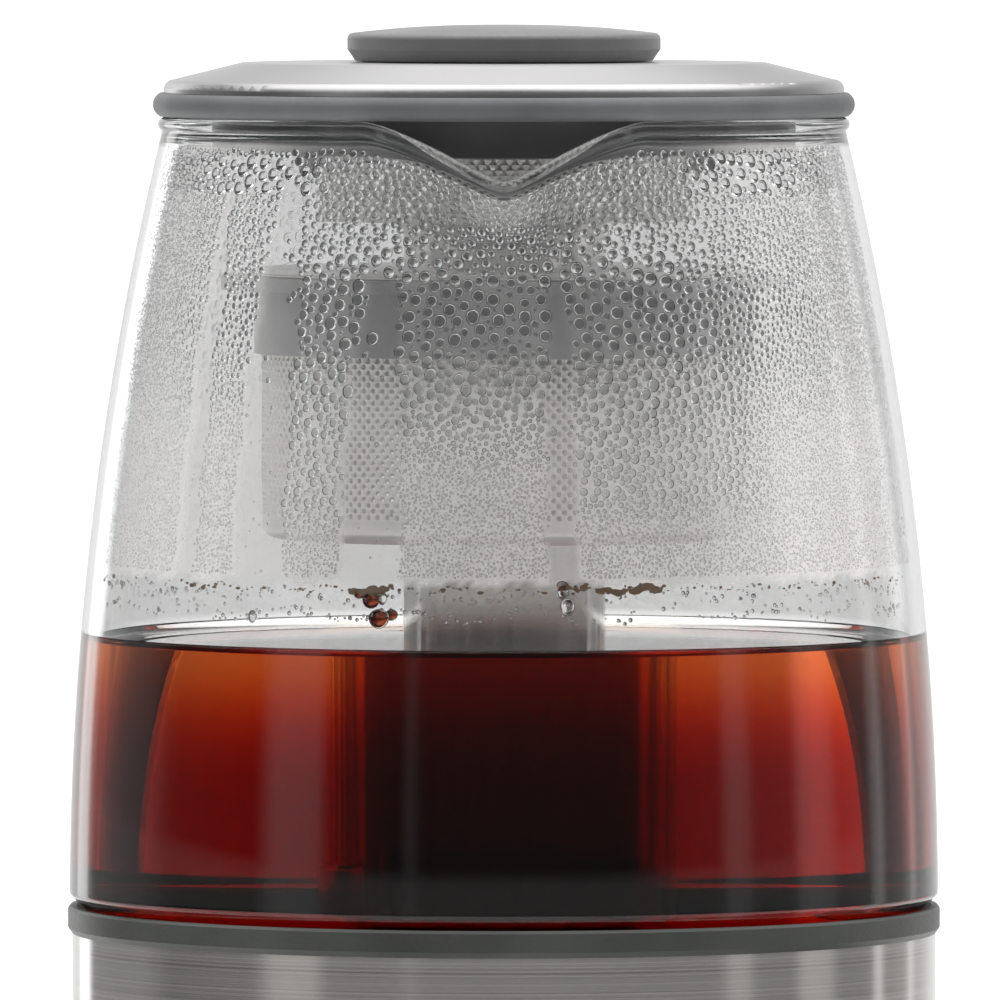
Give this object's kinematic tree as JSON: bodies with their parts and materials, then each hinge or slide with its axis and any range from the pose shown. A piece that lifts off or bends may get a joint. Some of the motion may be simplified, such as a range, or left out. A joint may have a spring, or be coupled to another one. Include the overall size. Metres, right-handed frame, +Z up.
{
  "type": "electric tea brewer",
  "caption": "Tapered glass tea kettle with pouring spout, steel lid and disc knob, motor-lifted infuser basket on a post, heated steel foot, rear handle and a corded power base with buttons.",
  "frame": {"origin": "on the table, under the middle of the jug, at the centre of the power base's middle foot", "axes": "+Z up; the spout points along -Y and the handle along +Y; the control panel lies on the +X side"},
  "size_m": [0.2932, 0.277, 0.2463],
  "materials": {
    "glass": "polished",
    "dark_ring": "satin",
    "shell_steel": "brushed",
    "cap_steel": "satin",
    "bright_steel": "polished",
    "strainer_steel": "satin",
    "lid_steel": "satin",
    "screw_steel": "satin",
    "motor_steel": "satin",
    "element_metal": "matte",
    "aluminium": "satin",
    "brass": "satin",
    "grey_silicone": "satin",
    "seal_silicone": "matte",
    "black_rubber": "matte",
    "knob_plastic": "satin",
    "plug_plastic": "satin",
    "collar_plastic": "satin",
    "handle_plastic": "satin",
    "base_plastic": "satin",
    "connector_plastic": "satin",
    "gear_plastic": "satin",
    "magnet": "satin",
    "board_green": "satin",
    "display_grey": "satin",
    "lens": "polished",
    "button_plastic": "satin",
    "tea": "polished",
    "water": "polished"
  },
  "bodies": {
    "power_base": {"base_housing": "base_plastic", "deck_plate": "shell_steel", "base_bottom": "base_plastic", "base_screws": "screw_steel", "rubber_feet": "black_rubber", "base_socket": "connector_plastic", "socket_contacts": "brass", "circuit_board": "board_green", "display_module": "display_grey", "display_lens": "lens", "power_cord": "black_rubber", "strain_relief": "black_rubber", "plug_body": "connector_plastic", "plug_pins": "brass"},
    "coupling": {"kettle_connector": "connector_plastic", "connector_contacts": "brass"},
    "kettle": {"glass_jug": "glass", "base_ring": "dark_ring", "steel_shell": "shell_steel", "foot_seal": "seal_silicone", "heater_plate": "bright_steel", "heat_spreader": "aluminium", "heating_element": "element_metal", "thermostat": "connector_plastic", "temperature_probe": "bright_steel", "probe_seal": "seal_silicone", "guide_post": "bright_steel", "post_cap": "lid_steel", "screw_gland": "seal_silicone", "top_bushing": "gear_plastic", "lift_motor": "motor_steel", "motor_bracket": "screw_steel", "bottom_cover": "base_plastic", "bottom_screws": "screw_steel", "handle_body": "handle_plastic", "handle_inlay": "shell_steel", "handle_bracket": "shell_steel", "handle_screws": "screw_steel", "handle_pad": "seal_silicone"},
    "drive_screw": {"lead_screw": "screw_steel", "screw_gear": "gear_plastic"},
    "pinion": {"motor_pinion": "gear_plastic"},
    "carriage": {"carriage_nut": "gear_plastic", "carriage_magnets": "magnet"},
    "infuser": {"infuser_basket": "strainer_steel", "basket_collar": "collar_plastic", "basket_magnets": "magnet"},
    "infuser_lid": {"basket_lid": "lid_steel"},
    "lid": {"lid_cap": "cap_steel", "lid_gasket": "grey_silicone", "lid_plug": "plug_plastic", "lid_strainer": "strainer_steel", "lid_knob": "knob_plastic", "knob_screw": "screw_steel"},
    "button_leaf": {"button_leaf": "button_plastic"},
    "button_strength": {"button_strength": "button_plastic"},
    "button_heat": {"button_heat": "button_plastic"},
    "button_hot_water": {"button_hot_water": "button_plastic"},
    "button_brew": {"button_brew": "button_plastic"}
  },
  "joints": [
    {"name": "kettle_lift", "type": "slide", "parent": "power_base", "child": "coupling", "axis": [0, 0, 1], "range_m": [0, 0.1]},
    {"name": "kettle_turn", "type": "hinge", "parent": "coupling", "child": "kettle", "pos_m": [0, 0, 0.038], "axis": [0, 0, 1], "continuous": true},
    {"name": "lid_lift", "type": "slide", "parent": "kettle", "child": "lid", "axis": [0, 0, 1], "range_m": [0, 0.06]},
    {"name": "infuser_travel", "type": "slide", "parent": "kettle", "child": "infuser", "axis": [0, 0, -1], "range_m": [0, 0.055]},
    {"name": "carriage_travel", "type": "slide", "parent": "kettle", "child": "carriage", "axis": [0, 0, -1], "range_m": [0, 0.0551]},
    {"name": "screw_turn", "type": "hinge", "parent": "kettle", "child": "drive_screw", "pos_m": [0, 0.048, 0.1], "axis": [0, 0, 1], "range_deg": [0, 1981]},
    {"name": "pinion_turn", "type": "hinge", "parent": "kettle", "child": "pinion", "pos_m": [0.018, 0.048, 0.06], "axis": [0, 0, 1], "range_deg": [-3962, 0]},
    {"name": "infuser_lid_lift", "type": "slide", "parent": "infuser", "child": "infuser_lid", "axis": [0, 0, 1], "range_m": [0, 0.008]},
    {"name": "button_leaf_press", "type": "slide", "parent": "power_base", "child": "button_leaf", "axis": [-0.2588, 0, -0.9659], "range_m": [0, 0.0008]},
    {"name": "button_strength_press", "type": "slide", "parent": "power_base", "child": "button_strength", "axis": [-0.2588, 0, -0.9659], "range_m": [0, 0.0008]},
    {"name": "button_heat_press", "type": "slide", "parent": "power_base", "child": "button_heat", "axis": [-0.2588, 0, -0.9659], "range_m": [0, 0.0008]},
    {"name": "button_hot_water_press", "type": "slide", "parent": "power_base", "child": "button_hot_water", "axis": [-0.2588, 0, -0.9659], "range_m": [0, 0.0008]},
    {"name": "button_brew_press", "type": "slide", "parent": "power_base", "child": "button_brew", "axis": [-0.2588, 0, -0.9659], "range_m": [0, 0.0008]}
  ],
  "couplings": [
    {"joint": "carriage_travel", "follows": "infuser_travel", "ratio": 1},
    {"joint": "screw_turn", "follows": "infuser_travel", "rad_per_m": 628.32},
    {"joint": "pinion_turn", "follows": "infuser_travel", "rad_per_m": -1256.6}
  ]
}
